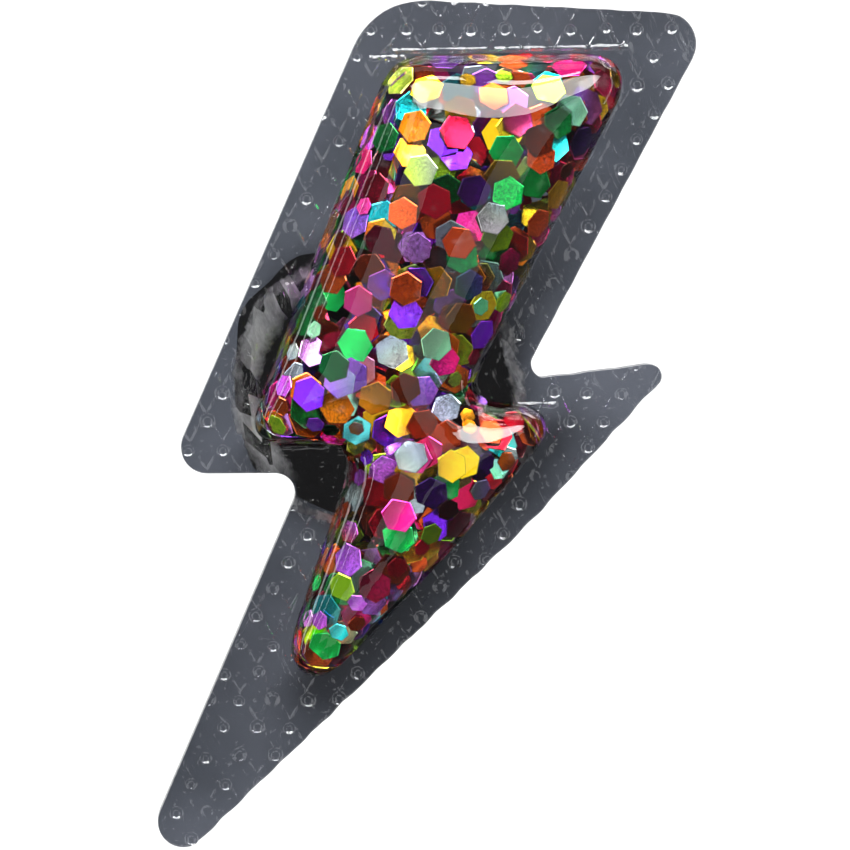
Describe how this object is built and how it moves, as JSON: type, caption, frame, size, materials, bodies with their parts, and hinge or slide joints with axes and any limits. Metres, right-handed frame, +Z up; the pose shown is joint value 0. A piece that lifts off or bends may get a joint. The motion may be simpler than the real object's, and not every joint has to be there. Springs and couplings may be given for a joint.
{
  "type": "glitter badge pin",
  "caption": "Lightning-bolt badge: a clear blister of glitter flakes in gel on a dark welded film, with a tack post and a butterfly clutch.",
  "frame": {"origin": "on the axis of the post, where it leaves the flat back of the pad, so cloth lies against y = 0", "axes": "+Z up as worn, +Y back along the post into the cloth, +X to the wearer's left, seen on the right from the front"},
  "size_m": [0.0293, 0.0169, 0.046],
  "materials": {
    "clear_film": "gloss clear vinyl",
    "smoke_film": "smoke-tinted vinyl, embossed",
    "gel": "clear gel",
    "glue": "black contact glue, crazed white at its edge",
    "black_plastic": "fine moulded texture",
    "steel": "nickel-plated",
    "brass": "stamped and polished",
    "silver": "metallised film",
    "lilac": "metallised film",
    "purple": "metallised film",
    "pink": "metallised film",
    "crimson": "metallised film",
    "copper": "metallised film",
    "orange": "metallised film",
    "gold": "metallised film",
    "lime": "metallised film",
    "green": "metallised film",
    "mint": "metallised film",
    "teal": "metallised film"
  },
  "bodies": {
    "badge": {"front_film": "clear_film", "back_film": "smoke_film", "gel_fill": "gel", "pad_glue": "glue", "pin_pad": "black_plastic", "pin_post": "steel", "flake_01_lilac": "lilac", "flake_02_gold": "gold", "flake_03_teal": "teal", "flake_04_crimson": "crimson", "flake_05_gold": "gold", "flake_06_teal": "teal", "flake_07_purple": "purple", "flake_08_lime": "lime", "flake_09_crimson": "crimson", "flake_10_lilac": "lilac", "flake_11_gold": "gold", "flake_12_copper": "copper", "flake_13_pink": "pink", "flake_14_lilac": "lilac", "flake_15_green": "green", "flake_16_purple": "purple", "flake_17_lime": "lime", "flake_18_green": "green", "flake_19_purple": "purple", "flake_20_silver": "silver", "flake_21_purple": "purple", "flake_22_orange": "orange", "flake_23_crimson": "crimson", "flake_24_silver": "silver", "flake_25_mint": "mint", "flake_26_copper": "copper", "flake_27_lime": "lime", "flake_28_teal": "teal", "flake_29_orange": "orange", "flake_30_orange": "orange", "flake_31_gold": "gold", "flake_32_crimson": "crimson", "flake_33_silver": "silver", "flake_34_green": "green", "flake_35_pink": "pink", "flake_36_copper": "copper"},
    "clutch": {"clutch_plate": "brass", "clutch_spring": "steel"},
    "wing_left": {"clutch_wing_left": "brass"},
    "wing_right": {"clutch_wing_right": "brass"}
  },
  "joints": [
    {"name": "clutch_slide", "type": "slide", "parent": "badge", "child": "clutch", "axis": [0, 1, 0], "range_m": [-0.002, 0.0085]},
    {"name": "wing_right_pinch", "type": "hinge", "parent": "clutch", "child": "wing_right", "pos_m": [0.00125, 0.0028, 0], "axis": [0, 0, 1], "range_deg": [0, 8], "stiffness_Nm_per_rad": 0.01},
    {"name": "wing_left_pinch", "type": "hinge", "parent": "clutch", "child": "wing_left", "pos_m": [-0.00125, 0.0028, 0], "axis": [0, 0, 1], "range_deg": [-8, 0], "stiffness_Nm_per_rad": 0.01}
  ],
  "couplings": [
    {"joint": "wing_left_pinch", "follows": "wing_right_pinch", "ratio": -1}
  ]
}
